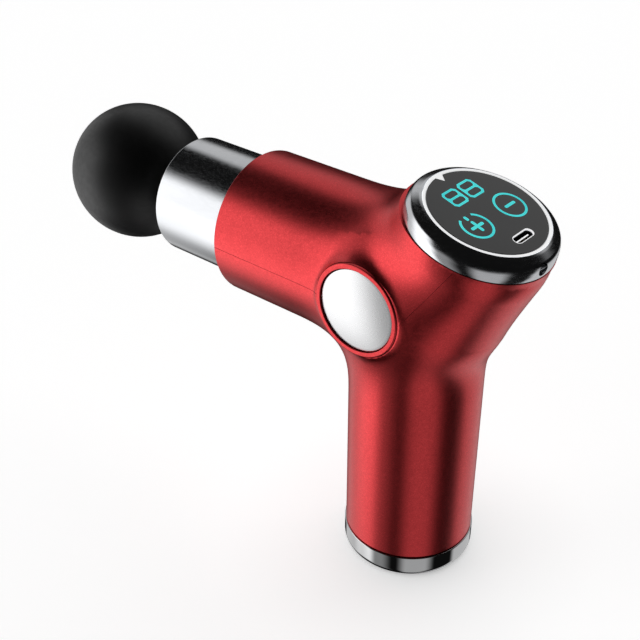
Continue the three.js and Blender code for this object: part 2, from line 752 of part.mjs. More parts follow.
const glass = minus(
  rod(GLASS_R, -1.2, 0, ALONG_Z, 36),
  port(9.6, 3.8, -3, 1),
  marker(0.15, -3, 1),
);
addPart('panel_glass', geometryOf(onPanel(glass)), SMOKED_GLASS);

const SPACER_FROM = -3.1;
const SPACER_TO = -1.4;
const DIGIT_U = 8.85;
const digitSpots = [3.55, -4];
const keySpots = [['plus', -1.9, 8.15], ['minus', -2, -8.3]];
const digitBlock = (v, half, from, to) =>
  block([DIGIT_U - half, v - half, from], [DIGIT_U + half, v + half, to]);
const spacer = minus(
  rod(15.4, SPACER_FROM, SPACER_TO, ALONG_Z, 28),
  port(9.6, 3.8, -5, 1),
  ...digitSpots.map((v) => digitBlock(v, 3.5, -5, 1)),
  ...keySpots.map(([, u, v]) => rod(5.35, -5, 1, ALONG_Z, 16, [u, v, 0])),
);
addPart('display_spacer', geometryOf(onPanel(spacer)), BLACK_PLASTIC);
digitSpots.forEach((v, n) => {
  const digit = digitBlock(v, 3.25, SPACER_FROM, SPACER_TO);
  addPart(`digit_module_${n + 1}`, geometryOf(onPanel(digit)), CYAN);
});
keySpots.forEach(([name, u, v]) => {
  const key = rod(5.05, SPACER_FROM, SPACER_TO, ALONG_Z, 16, [u, v, 0]);
  addPart(`touch_key_${name}`, geometryOf(onPanel(key)), CYAN);
});

const displayBoard = minus(
  rod(17.1, -4.9, -3.6, ALONG_Z, 24),
  port(9.6, 3.8, -8, 0),
);
addPart('display_board', geometryOf(onPanel(displayBoard)), BOARD_GREEN);
addPart('usb_shell', geometryOf(onPanel(
  port(8.94, 3.26, -7.6, -0.25).subtract(port(8.34, 2.66, -8, 0)),
)), STEEL);
addPart('usb_tongue', geometryOf(onPanel(plus(
  port(8.14, 2.46, -7.4, -5.6),
  block([PORT_U - 0.35, -3.3, -6], [PORT_U + 0.35, 3.3, -1.1]),
))), BLACK_PLASTIC);

// ---------------------------------------------------------------- leads inside the housing
addPart('battery_lead', geometryOf(lead([
  [-12.5, -6, 76.9],
  [-12.5, -6, 81],
  [-14, 3, 85],
  [-11, 11.5, 85],
  [-5, 13.8, 79],
  [-2, 13.6, 73],
  [-2, 13.5, 69.4],
], 0.7, 14)), WIRE_RED);
addPart('motor_lead', geometryOf(lead([
  [2, 13.5, 69.4],
  [3, 14, 76],
  [-2, 14.3, 84],
  [-3, 14.6, 89],
  [-3, 17.1, 92],
], 0.7, 12)), WIRE_BLACK);
addPart('display_lead', geometryOf(lead([
  [0, 13.5, 69.4],
  [-1, 14.2, 76],
  [-10, 13, 88],
  [-19, 7, 103],
  [-19.5, 2, 114],
  [-18.6, 0, 123.2],
], 0.7, 14)), WIRE_BLACK);

export default part;
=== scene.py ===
import json
import math

import bpy
import numpy as np
from mathutils import Matrix, Vector


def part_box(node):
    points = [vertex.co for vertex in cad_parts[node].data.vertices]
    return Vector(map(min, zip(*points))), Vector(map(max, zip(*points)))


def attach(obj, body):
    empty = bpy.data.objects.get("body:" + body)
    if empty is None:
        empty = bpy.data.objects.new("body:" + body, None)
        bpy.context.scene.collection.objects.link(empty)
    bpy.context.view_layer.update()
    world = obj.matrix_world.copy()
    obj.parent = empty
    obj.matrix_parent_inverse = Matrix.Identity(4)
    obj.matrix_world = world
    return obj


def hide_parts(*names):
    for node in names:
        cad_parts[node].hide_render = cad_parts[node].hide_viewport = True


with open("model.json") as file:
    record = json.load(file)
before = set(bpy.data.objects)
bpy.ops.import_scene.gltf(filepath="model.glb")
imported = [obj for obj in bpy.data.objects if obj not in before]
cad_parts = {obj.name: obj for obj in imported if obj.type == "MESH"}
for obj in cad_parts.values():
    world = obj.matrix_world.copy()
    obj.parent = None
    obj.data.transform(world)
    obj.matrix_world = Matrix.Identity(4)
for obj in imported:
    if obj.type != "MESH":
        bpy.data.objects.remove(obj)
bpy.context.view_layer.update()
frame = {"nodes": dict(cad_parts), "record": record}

MM = 0.001


def low(node):
    return np.array(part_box(node)[0]) / MM


def high(node):
    return np.array(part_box(node)[1]) / MM


def middle(node):
    return (low(node) + high(node)) / 2


# ------------------------------------------------------------------ places read from the frame
AXIS_Z = middle("nose_sleeve")[2]
MOTOR_X = middle("side_cap_left")[0]
BARREL_FRONT = high("top_shell")[0]
HOUSING_FOOT = low("grip_shell")[2]
SLEEVE_FRONT = high("nose_sleeve")[0]
PISTON_FRONT = high("piston")[0]
CAP_TOP_Y = high("side_cap_left")[1]
COLLAR_TOP_Y = high("side_collar_left")[1]
BALL_R = 23.6
BALL_WALL = 3.2
BALL_X = high("ball_head")[0] - BALL_R

# ------------------------------------------------------------------ sizes of the housing's form
HANDLE_R = 21.0
BARREL_R = 23.6
WALL = 2.0
PANEL_TILT = math.radians(17.6)
BEZEL_H = 6.2
BEZEL_R = 22.3
NECK_TOP_R = 23.1
NECK_LOW_R = 21.3
NECK_LOW = np.array([-7.5, 98.5])
NECK_BLEND = 12.0
NECK_ROLL_IN = 0.75
NECK_AHEAD = 20.0
ELBOW_BLEND = 19.0
BOSS_BLEND = 3.0
BOSS_SLOPE = 0.3
BOSS_FLARE = 0.04
BOSS_DEPTH = 8.5
BOSS_SUNK = 0.4
COLLAR_R = 14.5
COLLAR_BORE_R = 13.05
COLLAR_PROUD = 0.12
CAP_R = 12.75
CAP_DOME = 0.95
SLEEVE_R = 19.8
SLEEVE_BORE_R = 18.8
BASE_R = 21.4
BASE_SHOULDER = 8.4
GLASS_R = 17.45
LIGHT_RING_R = 18.4
STEM_R = 7.3
STEM_BORE_R = 7.6
PISTON_R = 11.0
WRIST_X = 32.2
PART_GAP = 0.13
FIT_GAP = 0.25
SHELL_CELL = 1.15
INNER_CELL = 2.3
SHARP_EDGE = math.radians(40)

PANEL_U = np.array([math.cos(PANEL_TILT), 0, math.sin(PANEL_TILT)])
PANEL_W = np.array([-math.sin(PANEL_TILT), 0, math.cos(PANEL_TILT)])
SPACER_MIDDLE_W = -2.25
PANEL_AT = middle("display_spacer") - SPACER_MIDDLE_W * PANEL_W


# ------------------------------------------------------------------ mesh helpers
def basis(e1, e2, e3, origin):
    """Axes and origin as a 4x4 matrix; bodies are turned about e3 and extruded along it."""
    m = np.eye(4)
    m[:3, 0], m[:3, 1], m[:3, 2], m[:3, 3] = e1, e2, e3, origin
    return m


X, Y, Z = np.eye(3)
UPRIGHT = basis(X, Y, Z, (0, 0, 0))
NOSE = basis(Y, Z, X, (0, 0, AXIS_Z))
MOTOR = basis(Z, X, Y, (MOTOR_X, 0, AXIS_Z))
SIDE = basis(Z, X, Y, (0, 0, 0))
PANEL = basis(PANEL_U, Y, PANEL_W, PANEL_AT)


def new_object(name, vertices, faces):
    mesh = bpy.data.meshes.new(name)
    mesh.from_pydata([tuple(map(float, v)) for v in vertices], [], faces)
    mesh.validate()
    volume = 0.0
    for poly in mesh.polygons:
        volume += poly.area * poly.normal.dot(poly.center)
    if volume < 0:
        mesh.flip_normals()
    obj = bpy.data.objects.new(name, mesh)
    bpy.context.scene.collection.objects.link(obj)
    return obj


def turned(name, profile, frame_of, segments=128):
    """A body of revolution about e3 from a closed loop of (radius, distance along e3)."""
    vertices, rings = [], []
    for r, d in profile:
        if r < 1e-6:
            rings.append([len(vertices)])
            vertices.append((0, 0, d))
            continue
        start = len(vertices)
        rings.append(list(range(start, start + segments)))
        for n in range(segments):
            a = 2 * math.pi * n / segments
            vertices.append((r * math.cos(a), r * math.sin(a), d))
    faces = []
    for this, other in zip(rings, rings[1:] + rings[:1]):
        if len(this) == 1 and len(other) == 1:
            continue
        for n in range(segments):
            m = (n + 1) % segments
            if len(this) == 1:
                faces.append((this[0], other[m], other[n]))
            elif len(other) == 1:
                faces.append((this[n], this[m], other[0]))
            else:
                faces.append((this[n], this[m], other[m], other[n]))
    points = np.c_[np.array(vertices, float), np.ones(len(vertices))] @ frame_of.T
    return new_object(name, points[:, :3], faces)


def soften(profile, radius=0.18, steps=3):
    """Rounds each corner of a closed profile by radius, or by the corner's own third number."""
    points = [np.array(p[:2], float) for p in profile]
    out = []
    for i, q in enumerate(points):
        before, after = points[i - 1], points[(i + 1) % len(points)]
        size = profile[i][2] if len(profile[i]) > 2 else radius
        la, lb = np.linalg.norm(before - q), np.linalg.norm(after - q)
        cut = min(size, 0.45 * la, 0.45 * lb)
        if q[0] < 1e-6 or cut < 1e-3:
            out.append(tuple(q))
            continue
        a, b = q + (before - q) / la * cut, q + (after - q) / lb * cut
        for t in np.linspace(0, 1, steps + 1):
            out.append(tuple((1 - t) ** 2 * a + 2 * t * (1 - t) * q + t * t * b))
    return out


def extruded(name, outline, start, end, frame_of):
    """An outline in (e1, e2) extruded along e3 from start to end."""
    n = len(outline)
    vertices = [(a, b, start) for a, b in outline] + [(a, b, end) for a, b in outline]
    faces = [tuple(range(n))[::-1], tuple(range(n, 2 * n))]
    faces += [(i, (i + 1) % n, n + (i + 1) % n, n + i) for i in range(n)]
    points = np.c_[np.array(vertices, float), np.ones(2 * n)] @ frame_of.T
    return new_object(name, points[:, :3], faces)


def bake(obj):
    """Puts the object's modifiers into its mesh."""
    graph = bpy.context.evaluated_depsgraph_get()
    mesh = bpy.data.meshes.new_from_object(obj.evaluated_get(graph))
    obj.modifiers.clear()
    obj.data = mesh
    return obj


def combine(obj, how, *tools):
    for tool in tools:
        step = obj.modifiers.new("step", "BOOLEAN")
        step.operation, step.solver, step.object = how, "MANIFOLD", tool
        bpy.context.view_layer.update()
        bake(obj)
        bpy.data.objects.remove(tool)
    return obj


def cut(obj, *tools):
    return combine(obj, "DIFFERENCE", *tools)


def cylinder(radius, start, end, frame_of, segments=96):
    profile = [(0, start), (radius, start), (radius, end), (0, end)]
    return turned("tool", profile, frame_of, segments)


def slab(x0, x1, y0, y1, z0, z1, frame_of=UPRIGHT):
    return extruded("tool", [(x0, y0), (x1, y0), (x1, y1), (x0, y1)], z0, z1, frame_of)


def arc(radius, centre, start, end, steps):
    """Points (radius, distance) along a circle about the axis, by angle from the rear pole."""
    angles = np.linspace(start, end, steps + 1)
    return [(radius * math.sin(a), centre - radius * math.cos(a)) for a in angles]


def stadium(length, width, steps=14):
    """A slot's outline in (e1, e2), long along e2."""
    r, straight = width / 2, (length - width) / 2
    angles = np.linspace(0, math.pi, steps + 1)
    right = [(r * math.cos(a), straight + r * math.sin(a)) for a in angles]
    return right + [(-a, -b) for a, b in right]


def shifted(outline, du, dv=0.0):
    return [(a + du, b + dv) for a, b in outline]


# ------------------------------------------------------------------ housing form
NECK_TOP = np.array([PANEL_AT[0], PANEL_AT[2]]) - BEZEL_H * np.array([PANEL_W[0], PANEL_W[2]])
NECK_LENGTH = float(np.linalg.norm(NECK_LOW - NECK_TOP))
NECK_WAY = (NECK_LOW - NECK_TOP) / NECK_LENGTH
FIELD_LOW = np.array([-62.0, -32.0, 0.0])
FIELD_HIGH = np.array([72.0, 32.0, 158.0])
FIELD_EDGE = 3.0


def smooth_union(a, b, reach):
    """The nearer of two forms, blended without a crease where they are within reach."""
    h = np.maximum(1 - np.abs(a - b) / reach, 0)
    return np.minimum(a, b) - h ** 3 * reach / 6


def neck_distance(x, y, z):
    along = (x - NECK_TOP[0]) * NECK_WAY[0] + (z - NECK_TOP[1]) * NECK_WAY[1]
    s = np.clip(along, -NECK_AHEAD, NECK_LENGTH)
    t = np.clip(s / NECK_LENGTH, 0, 1)
    roll_in = NECK_ROLL_IN * np.clip(1 - along / 6, 0, 1) ** 2
    radius = NECK_TOP_R + (NECK_LOW_R - NECK_TOP_R) * t - roll_in
    dx, dz = x - NECK_TOP[0] - s * NECK_WAY[0], z - NECK_TOP[1] - s * NECK_WAY[1]
    return np.sqrt(dx ** 2 + y ** 2 + dz ** 2) - radius


def housing_field(p):
    """Signed distance to the housing, with its ends and side bosses left long for cutting."""
    x, y, z = p[..., 0], p[..., 1], p[..., 2]
    handle = np.hypot(np.hypot(x, y), np.maximum(z - AXIS_Z, 0)) - HANDLE_R
    barrel = np.hypot(np.hypot(y, z - AXIS_Z), np.minimum(x - MOTOR_X, 0)) - BARREL_R
    depth = COLLAR_TOP_Y - np.abs(y)
    drop = np.clip(depth, 0, BOSS_DEPTH)
    flare = COLLAR_R - 0.1 + BOSS_SLOPE * drop + BOSS_FLARE * drop ** 2
    boss = (np.hypot(x - MOTOR_X, z - AXIS_Z) - flare) / np.hypot(1, BOSS_SLOPE)
    boss = np.maximum(boss, BOSS_SUNK - depth)
    trunk = smooth_union(handle, neck_distance(x, y, z), NECK_BLEND)
    elbow = smooth_union(trunk, barrel, ELBOW_BLEND)
    body = smooth_union(elbow, boss, BOSS_BLEND)
    inside = np.maximum(FIELD_LOW + FIELD_EDGE - p, p - FIELD_HIGH + FIELD_EDGE).max(-1)
    return np.maximum(body, inside)


def slope_of(field, points, step=0.02):
    slope = np.empty_like(points)
    for axis in range(3):
        shift = np.zeros(3)
        shift[axis] = step
        slope[:, axis] = (field(points + shift) - field(points - shift)) / (2 * step)
    return slope


def surface_of(name, field, cell):
    """Meshes a field's zero surface with one vertex per crossed cell, settled on the surface."""
    axes = [np.arange(a, b, cell) for a, b in zip(FIELD_LOW, FIELD_HIGH)]
    grid = np.stack(np.meshgrid(*axes, indexing="ij"), -1)
    values = field(grid)
    n = np.array(values.shape)
    total, count = np.zeros((*(n - 1), 3)), np.zeros(n - 1)
    crossed = []
    for axis in range(3):
        a = np.take(values, range(n[axis] - 1), axis)
        b = np.take(values, range(1, n[axis]), axis)
        start = np.take(grid, range(n[axis] - 1), axis).copy()
        cross = (a < 0) != (b < 0)
        share = np.where(cross, a / np.where(cross, a - b, 1), 0)
        start[..., axis] += share * cell
        start *= cross[..., None]
        crossed.append((cross, a < 0))
        side, up = [i for i in range(3) if i != axis]
        for s in (0, 1):
            for u in (0, 1):
                window = [slice(None)] * 3
                window[side] = slice(s, s + n[side] - 1)
                window[up] = slice(u, u + n[up] - 1)
                total += start[tuple(window)]
                count += cross[tuple(window)]
    active = count > 0
    index = np.full(n - 1, -1)
    index[active] = np.arange(active.sum())
    points = total[active] / count[active][:, None]
    for _ in range(5):
        slope = slope_of(field, points)
        size = np.maximum((slope ** 2).sum(1), 0.1)
        points -= 0.9 * (field(points) / size)[:, None] * slope
    faces = []
    for axis, (cross, inside) in enumerate(crossed):
        side, up = (axis + 1) % 3, (axis + 2) % 3
        at = np.argwhere(cross)
        at = at[(at[:, side] > 0) & (at[:, up] > 0)]
        at = at[(at[:, side] < n[side] - 1) & (at[:, up] < n[up] - 1)]
        corners = []
        for s, u in ((1, 1), (0, 1), (0, 0), (1, 0)):
            cell_at = at.copy()
            cell_at[:, side] -= s
            cell_at[:, up] -= u
            corners.append(index[tuple(cell_at.T)])
        quads = np.stack(corners, 1)
        outward = inside[tuple(at.T)]
        quads[~outward] = quads[~outward][:, ::-1]
        faces += quads.tolist()
    return new_object(name, points, faces)


def smooth_by_field(obj, field):
    """Gives faces on the field's surface its exact normals; the cut faces keep their own."""
    mesh = obj.data
    mesh.shade_smooth()
    mesh.set_sharp_from_angle(angle=math.radians(30))
    count = len(mesh.loops)
    normals = np.empty(count * 3)
    mesh.corner_normals.foreach_get("vector", normals)
    normals = normals.reshape(-1, 3)
    corner = np.empty(count, int)
    mesh.loops.foreach_get("vertex_index", corner)
    points = np.empty(len(mesh.vertices) * 3)
    mesh.vertices.foreach_get("co", points)
    points = points.reshape(-1, 3)
    distance = np.abs(field(points))
    slope = slope_of(field, points)
    slope /= np.maximum(np.linalg.norm(slope, axis=1), 1e-6)[:, None]
    face_normal = np.empty(len(mesh.polygons) * 3)
    mesh.polygons.foreach_get("normal", face_normal)
    face_normal = face_normal.reshape(-1, 3)
    sizes = np.empty(len(mesh.polygons), int)
    mesh.polygons.foreach_get("loop_total", sizes)
    face_of = np.repeat(np.arange(len(sizes)), sizes)
    close = (distance[corner] < 0.08) & ((slope[corner] * face_normal[face_of]).sum(1) > 0.8)
    on_surface = np.minimum.reduceat(close, np.r_[0, np.cumsum(sizes)[:-1]])[face_of]
    normals[on_surface] = slope[corner][on_surface]
    mesh.normals_split_custom_set(normals.tolist())


def edge_tool(radius, face, outward, frame_of, size=0.4):
    """A ring that takes the corner off a cylinder's end: face is the end's distance along e3."""
    back = face - outward * size
    curve = []
    for t in np.linspace(0, math.pi / 2, 5):
        curve.append((radius - size + size * math.cos(t), back + outward * size * math.sin(t)))
    outer = [(radius - size, face + outward), (radius + 2, face + outward), (radius + 2, back)]
    return turned("tool", curve + outer, frame_of, 128)


def parting_prism(lift):
    """All that lies above the line where the two shells meet."""
    front, rear, knee = 90, -44, -9
    outline = [
        (front, AXIS_Z + lift),
        (front, 170),
        (rear, 170),
        (rear, 148.7 + lift),
        (knee, AXIS_Z + lift),
    ]
    return extruded("tool", [(z, x) for x, z in outline], -40, 40, SIDE)


def build_housing():
    """Two shells from one form: its ends and openings are cut, then it parts along the seam."""
    shell = surface_of("shell", housing_field, SHELL_CELL)
    inner = surface_of("inner", lambda p: housing_field(p) + WALL, INNER_CELL)
    front_wall, spigot_r, boss_face = 2.4, 18.9, COLLAR_TOP_Y - BOSS_SUNK
    cut(inner, slab(BARREL_FRONT - front_wall, 80, -40, 40, 0, 170))
    cut(
        shell,
        slab(-70, 80, boss_face, 40, 0, 170),
        slab(-70, 80, -40, -boss_face, 0, 170),
        slab(BARREL_FRONT, 80, -40, 40, 0, 170),
        slab(-70, 80, -40, 40, -5, HOUSING_FOOT),
        slab(-60, 60, -40, 40, -BEZEL_H - FIT_GAP, 60, PANEL),
        inner,
        cylinder(spigot_r, -11, 0, PANEL),
        cylinder(SLEEVE_R + FIT_GAP, 50, 80, NOSE, 128),
        cylinder(COLLAR_R + FIT_GAP, -30, 30, MOTOR),
        edge_tool(BARREL_R, BARREL_FRONT, 1, NOSE, 0.6),
        edge_tool(HANDLE_R, HOUSING_FOOT, -1, UPRIGHT, 0.3),
    )
    top = shell.copy()
    top.data = shell.data.copy()
    bpy.context.scene.collection.objects.link(top)
    cut(shell, parting_prism(-PART_GAP / 2))
    combine(top, "INTERSECT", parting_prism(PART_GAP / 2))
    for obj, name in ((shell, "grip_shell"), (top, "top_shell")):
        smooth_by_field(obj, housing_field)
        finish_piece(obj, name, [name], weighted=False)


# ------------------------------------------------------------------ finishing a piece
BODY_OF = {n: body for body, nodes in frame["record"]["behaviour"]["bodies"].items() for n in nodes}
SLOT_OF = {row["node"]: row["material_slot"] for row in frame["record"]["subparts"]}
shown_for = set()


def finish_piece(obj, name, nodes, slot=None, body=None, weighted=True, look=None):
    """Scales a piece to metres and gives it its name, body, slot and material.

    It stands for the nodes named. look is a material other than the slot's usual one."""
    obj.name = name + "_skin" if name in frame["nodes"] else name
    obj.data.name = obj.name
    obj.data.transform(Matrix.Scale(MM, 4))
    if weighted:
        obj.data.shade_smooth()
        obj.data.set_sharp_from_angle(angle=SHARP_EDGE)
        even = obj.modifiers.new("even", "WEIGHTED_NORMAL")
        even.keep_sharp = True
        even.weight = 80
    slot = slot or SLOT_OF[nodes[0]]
    obj.data.materials.clear()
    obj.data.materials.append(MATERIALS[look or slot])
    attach(obj, body or BODY_OF[nodes[0]])
    if nodes:
        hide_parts(*nodes)
        shown_for.update(nodes)
    return obj


# ------------------------------------------------------------------ materials
def linear(r, g, b):
    """A colour given in sRGB from 0 to 255, as linear light."""
    def channel(value):
        value /= 255
        return value / 12.92 if value <= 0.04045 else ((value + 0.055) / 1.055) ** 2.4
    return (channel(r), channel(g), channel(b), 1)


def surface(
    name, dark, light, metallic=0.0, rough=(0.4, 0.5), cloud=60.0, grain=2500.0, depth=0.02,
    stretch=(1, 1, 1), mottle=9.0, coat=0.0, specular=0.5, glow=0.0, flake=0.0,
):
    """A procedural finish: colour drifts between dark and light, roughness follows fine noise,
    and a grain of the given scale (per metre) and depth (millimetres) is the bump."""
    material = bpy.data.materials.new(name)
    material.use_nodes = True
    nodes, links = material.node_tree.nodes, material.node_tree.links
    shader = nodes["Principled BSDF"]
    place = nodes.new("ShaderNodeTexCoord")
    mapping = nodes.new("ShaderNodeMapping")
    mapping.inputs["Scale"].default_value = stretch
    links.new(place.outputs["Object"], mapping.inputs["Vector"])

    def noise(scale, detail=3.0):
        node = nodes.new("ShaderNodeTexNoise")
        node.inputs["Scale"].default_value = scale
        node.inputs["Detail"].default_value = detail
        links.new(mapping.outputs["Vector"], node.inputs["Vector"])
        return node.outputs["Fac"]

    def ranged(value, start, end, low_in=0.35, high_in=0.65):
        node = nodes.new("ShaderNodeMapRange")
        node.inputs["From Min"].default_value = low_in
        node.inputs["From Max"].default_value = high_in
        node.inputs["To Min"].default_value = start
        node.inputs["To Max"].default_value = end
        links.new(value, node.inputs["Value"])
        return node.outputs["Result"]

    def blended(factor, first, second):
        node = nodes.new("ShaderNodeMix")
        node.data_type = "RGBA"
        links.new(factor, node.inputs["Factor"])
        for socket, value in ((node.inputs[6], first), (node.inputs[7], second)):
            if isinstance(value, tuple):
                socket.default_value = value
            else:
                links.new(value, socket)
        return node.outputs[2]

    colour = blended(ranged(noise(mottle), 0, 1), dark, light)
    if flake:
        cells = nodes.new("ShaderNodeTexVoronoi")
        cells.inputs["Scale"].default_value = grain
        links.new(mapping.outputs["Vector"], cells.inputs["Vector"])
        split = nodes.new("ShaderNodeSeparateColor")
        links.new(cells.outputs["Color"], split.inputs["Color"])
        bright = tuple(min(1.0, c * (1 + flake)) for c in light[:3]) + (1,)
        dim = tuple(c * (1 - 0.6 * flake) for c in dark[:3]) + (1,)
        speck = blended(ranged(split.outputs["Red"], 0, 1, 0.55, 1.0), colour, bright)
        colour = blended(ranged(split.outputs["Green"], 0, 1, 0.6, 1.0), speck, dim)
    links.new(colour, shader.inputs["Base Color"])
    links.new(ranged(noise(cloud, 5.0), *rough), shader.inputs["Roughness"])
    bump = nodes.new("ShaderNodeBump")
    bump.inputs["Strength"].default_value = 1.0
    bump.inputs["Distance"].default_value = depth * MM
    links.new(noise(grain, 2.0), bump.inputs["Height"])
    links.new(bump.outputs["Normal"], shader.inputs["Normal"])
    shader.inputs["Metallic"].default_value = metallic
    shader.inputs["Specular IOR Level"].default_value = specular
    shader.inputs["Coat Weight"].default_value = coat
    shader.inputs["Coat Roughness"].default_value = 0.12
    if glow:
        links.new(colour, shader.inputs["Emission Color"])
        shader.inputs["Emission Strength"].default_value = glow
    return material


MATERIALS = {
    "red_shell": surface(
        "red_satin", (0.7, 0.058, 0.064, 1), (0.77, 0.07, 0.075, 1), metallic=1.0,
        rough=(0.3, 0.36), cloud=900, grain=4200, depth=0.004, flake=0.14, mottle=14,
    ),
    "chrome": surface(
        "chrome", linear(230, 230, 231), linear(238, 238, 239), metallic=1.0, rough=(0.03, 0.06),
        cloud=220, grain=900, depth=0.0003, mottle=30,
    ),
    # A darker copy of chrome, for the base only: painted shade on a part that is chrome like the
    # bezel.
    "chrome_painted_shade": surface(
        "chrome_painted_shade", linear(200, 201, 202), linear(208, 208, 209), metallic=1.0,
        rough=(0.03, 0.06), cloud=220, grain=900, depth=0.0003, mottle=30,
    ),
    "polished_alloy": surface(
        "polished_alloy", linear(205, 207, 210), linear(222, 223, 226), metallic=1.0,
        rough=(0.12, 0.2), cloud=500, grain=1500, depth=0.001, stretch=(1, 1, 6),
    ),
    "bare_aluminium": surface(
        "bare_aluminium", linear(176, 178, 182), linear(196, 198, 201), metallic=1.0,
        rough=(0.3, 0.42), cloud=700, grain=1800, depth=0.003, stretch=(1, 1, 8),
    ),
    "pearl": surface(
        "pearl", linear(226, 226, 227), linear(233, 233, 234), metallic=1.0, rough=(0.27, 0.28),
        cloud=700, grain=3600, depth=0.0001, mottle=20,
    ),
    "black_rubber": surface(
        "black_rubber", linear(33, 33, 34), linear(40, 40, 41), rough=(0.4, 0.48), cloud=700,
        grain=2600, depth=0.008, specular=0.6,
    ),
    "black_plastic": surface(
        "black_plastic", linear(27, 28, 30), linear(34, 35, 37), rough=(0.38, 0.5), cloud=500,
        grain=2200, depth=0.01,
    ),
    "natural_plastic": surface(
        "natural_plastic", linear(198, 194, 182), linear(214, 210, 198), rough=(0.4, 0.52),
        cloud=400, grain=1600, depth=0.008,
    ),
    # Where this glows on the port's rim and the tongue's edge, the glow is a painted highlight.
    "white_plastic": surface(
        "white_plastic", linear(238, 239, 240), linear(248, 248, 249), rough=(0.3, 0.4), cloud=500,
        grain=1500, depth=0.003, glow=0.8,
    ),
    "cyan_light": surface(
        "cyan_light", linear(48, 204, 206), linear(66, 220, 220), rough=(0.35, 0.45), cloud=600,
        grain=1800, depth=0.002, glow=0.85, mottle=120,
    ),
    "smoked_glass": surface(
        "smoked_glass", linear(52, 53, 54), linear(58, 59, 60), rough=(0.05, 0.09), cloud=150,
        grain=700, depth=0.0003, coat=0.3, mottle=40,
    ),
    "circuit_board": surface(
        "circuit_board", linear(22, 74, 44), linear(38, 100, 62), rough=(0.4, 0.6), cloud=300,
        grain=900, depth=0.02, mottle=500,
    ),
    "steel": surface(
        "steel", linear(150, 153, 157), linear(180, 182, 186), metallic=1.0, rough=(0.25, 0.38),
        cloud=500, grain=1500, depth=0.004, stretch=(1, 6, 1),
    ),
    "brass": surface(
        "brass", linear(170, 132, 64), linear(190, 152, 84), metallic=1.0, rough=(0.3, 0.4),
        cloud=400, grain=1500, depth=0.004,
    ),
    "cell": surface(
        "cell_sleeve", linear(40, 98, 142), linear(52, 116, 164), rough=(0.3, 0.42), cloud=200,
        grain=900, depth=0.01,
    ),
    "red_wire": surface(
        "red_wire", linear(140, 24, 24), linear(160, 34, 34), rough=(0.45, 0.6), cloud=600,
        grain=2000, depth=0.01,
    ),
    "black_wire": surface(
        "black_wire", linear(20, 20, 21), linear(30, 30, 31), rough=(0.45, 0.6), cloud=600,
        grain=2000, depth=0.01,
    ),
}


# ------------------------------------------------------------------ sides, base and nose
def build_sides():
    """A collar with a domed cap in it on each side; the profile is the left one's."""
    collar_r, seat = COLLAR_R + COLLAR_PROUD, 21.4
    for name, side in (("left", 1), ("right", -1)):
        collar = soften([
            (COLLAR_BORE_R, seat),
            (COLLAR_BORE_R, COLLAR_TOP_Y, 0.15),
            (collar_r, COLLAR_TOP_Y, 0.5),
            (collar_r, 19.5),
            (10.2, 19.5),
            (10.2, seat),
        ], 0.1, 5)
        dome = []
        for r in np.linspace(0, CAP_R, 15):
            dome.append((r, CAP_TOP_Y - CAP_DOME * (r / CAP_R) ** 2.1))
        rest = [(CAP_R, 21.7), (11.2, 21.7), (11.2, 23), (0, 23)]
        dome[-1] = (*dome[-1], 0.2)
        cap = soften(dome + rest, 0.05, 5)
        for node, profile in ((f"side_collar_{name}", collar), (f"side_cap_{name}", cap)):
            mirrored = [(r, side * d) for r, d in profile]
            finish_piece(turned(node, mirrored, MOTOR), node, [node])


def build_base():
    """The polished foot with its spigot and screw holes, and the rubber pad under it."""
    top = high("base_cap")[2]
    recess, recess_r, spigot_r, spigot_bore_r, floor_top = 1.3, 15.3, 18.75, 17.2, 6.4
    cup = soften([
        (0, recess),
        (recess_r, recess),
        (recess_r, 0, 0.25),
        (19.6, 0, 0.9),
        (BASE_R, 2.0, 1.1),
        (BASE_R, BASE_SHOULDER, 0.3),
        (spigot_r, BASE_SHOULDER),
        (spigot_r, top),
        (spigot_bore_r, top),
        (spigot_bore_r, floor_top),
        (0, floor_top),
    ], 0.15, 6)
    base = turned("base_cap", cup, UPRIGHT)
    screw_y, screw_head_r, screw_r = 11.5, 2.1, 1.25
    for side in (-1, 1):
        spot = basis(X, Y, Z, (0, side * screw_y, 0))
        cut(base, cylinder(screw_head_r, 0, 2.9, spot, 32), cylinder(screw_r, 2, 8, spot, 32))
    # The base takes the darker chrome copy: painted shade.
    finish_piece(base, "base_cap", ["base_cap"], look="chrome_painted_shade")
    pad = soften([(0, 0.05), (14.9, 0.05, 0.4), (14.9, 1.15), (0, 1.15)], 0.1, 5)
    groove = [(12.2, -1), (12.8, -1), (12.8, 0.3), (12.2, 0.3)]
    foot = cut(turned("base_pad", pad, UPRIGHT), turned("tool", groove, UPRIGHT))
    finish_piece(foot, "base_pad", ["base_pad"])


